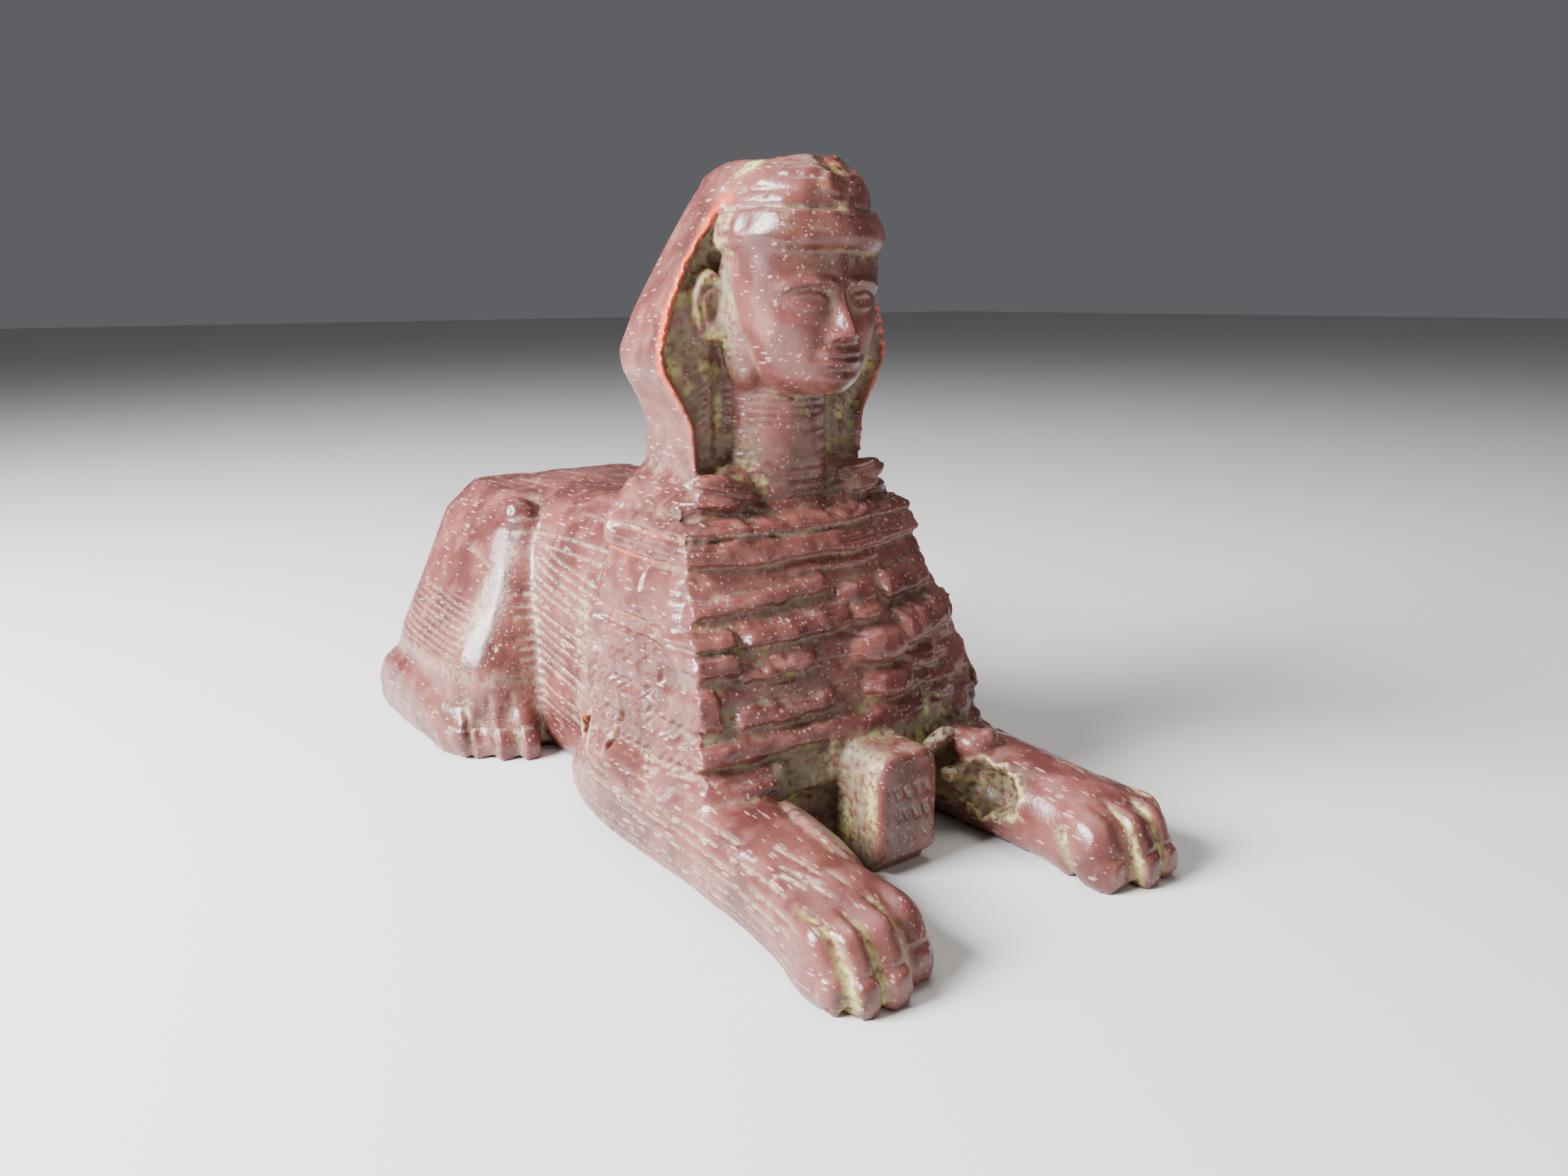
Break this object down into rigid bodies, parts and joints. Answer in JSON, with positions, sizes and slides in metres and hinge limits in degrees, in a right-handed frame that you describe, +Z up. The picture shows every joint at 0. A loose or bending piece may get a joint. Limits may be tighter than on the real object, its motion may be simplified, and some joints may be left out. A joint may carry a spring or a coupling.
{
  "type": "sphinx statue",
  "caption": "Small cast sphinx lying with its forelegs stretched out, human-headed in a folded headcloth, with a small tablet between its forelegs.",
  "frame": {"origin": "on the flat underside, at the middle of the statue's length and width", "axes": "+Z up from the underside, -Y the way the sphinx faces, +X towards the sphinx's own left"},
  "size_m": [0.0646, 0.12, 0.083],
  "materials": {
    "red_cast": "gloss"
  },
  "bodies": {
    "root": {"sphinx": "red_cast"}
  },
  "joints": []
}
